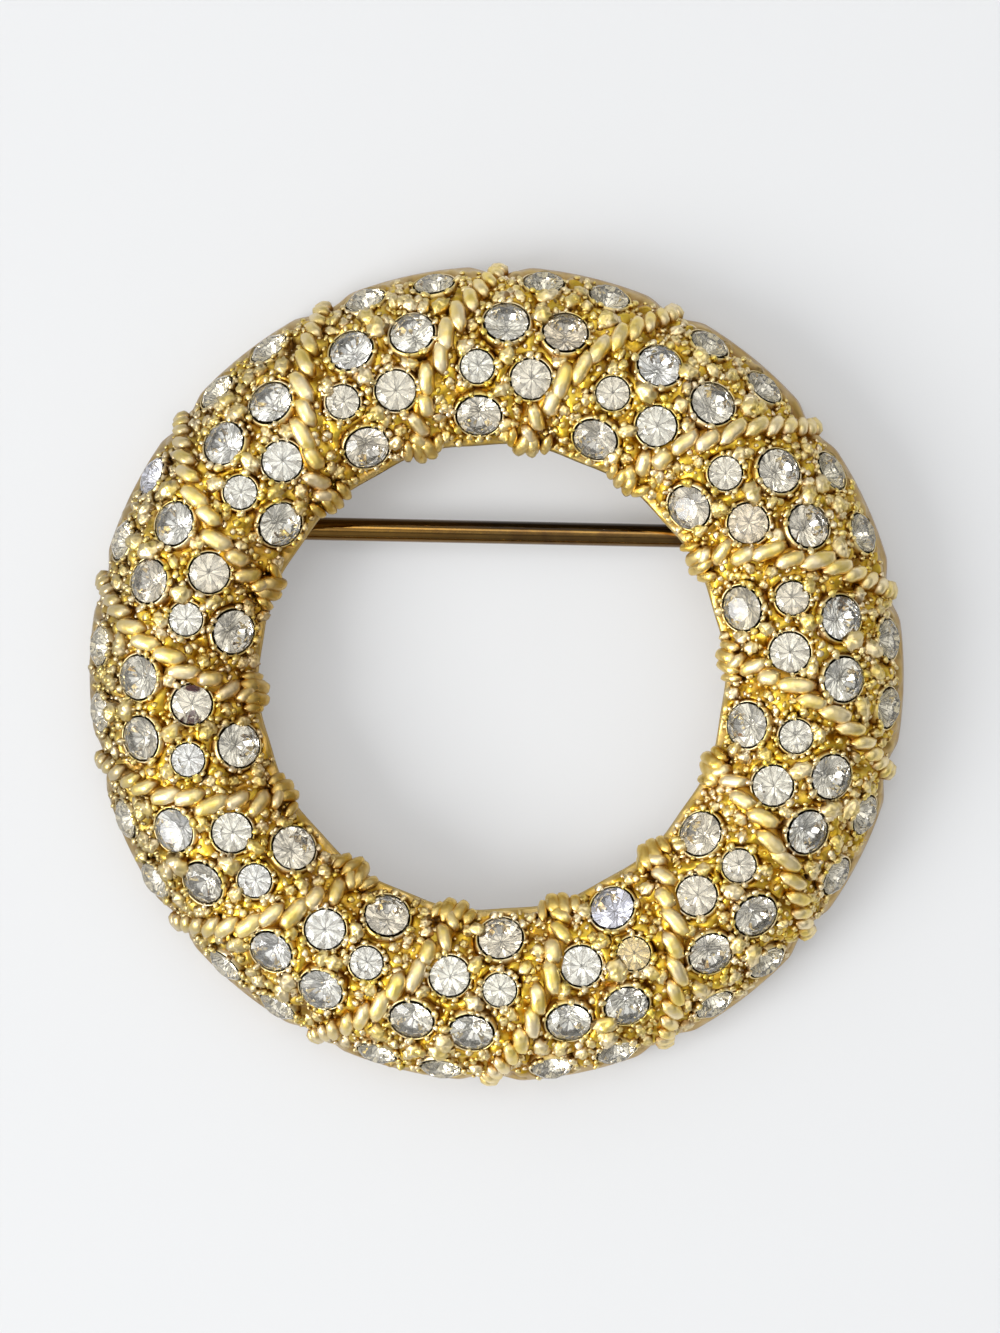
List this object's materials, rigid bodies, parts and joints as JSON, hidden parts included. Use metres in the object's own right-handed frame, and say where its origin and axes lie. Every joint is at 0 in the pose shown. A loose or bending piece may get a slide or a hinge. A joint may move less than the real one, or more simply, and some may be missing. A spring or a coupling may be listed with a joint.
{
  "type": "circle pin brooch",
  "caption": "Domed open ring brooch set with round crystals between twisted rope ridges, with a hinged pin stem and a plain catch across its hollow back.",
  "frame": {"origin": "centre of the ring on the table that the outer rim rests on", "axes": "+Z out of the ring's set face, +X along the pin stem from the hinge towards the point, +Y towards the side of the ring that the stem crosses"},
  "size_m": [0.0404, 0.0412, 0.0063],
  "materials": {
    "gold_casting": "gold plated cast metal, bright on the beads and ridges",
    "crystal": "clear foil-backed crystal",
    "stem_wire": "drawn wire, darkened bronze gold",
    "rivet": "plain satin"
  },
  "bodies": {
    "brooch": {"ring_casting": "gold_casting", "crystals": "crystal", "hinge_rivet": "rivet"},
    "stem": {"pin_stem": "stem_wire"}
  },
  "joints": [
    {"name": "stem_hinge", "type": "hinge", "parent": "brooch", "child": "stem", "pos_m": [-0.0145, 0.0071, 0.0013], "axis": [0, 1, 0], "range_deg": [0, 110]}
  ]
}
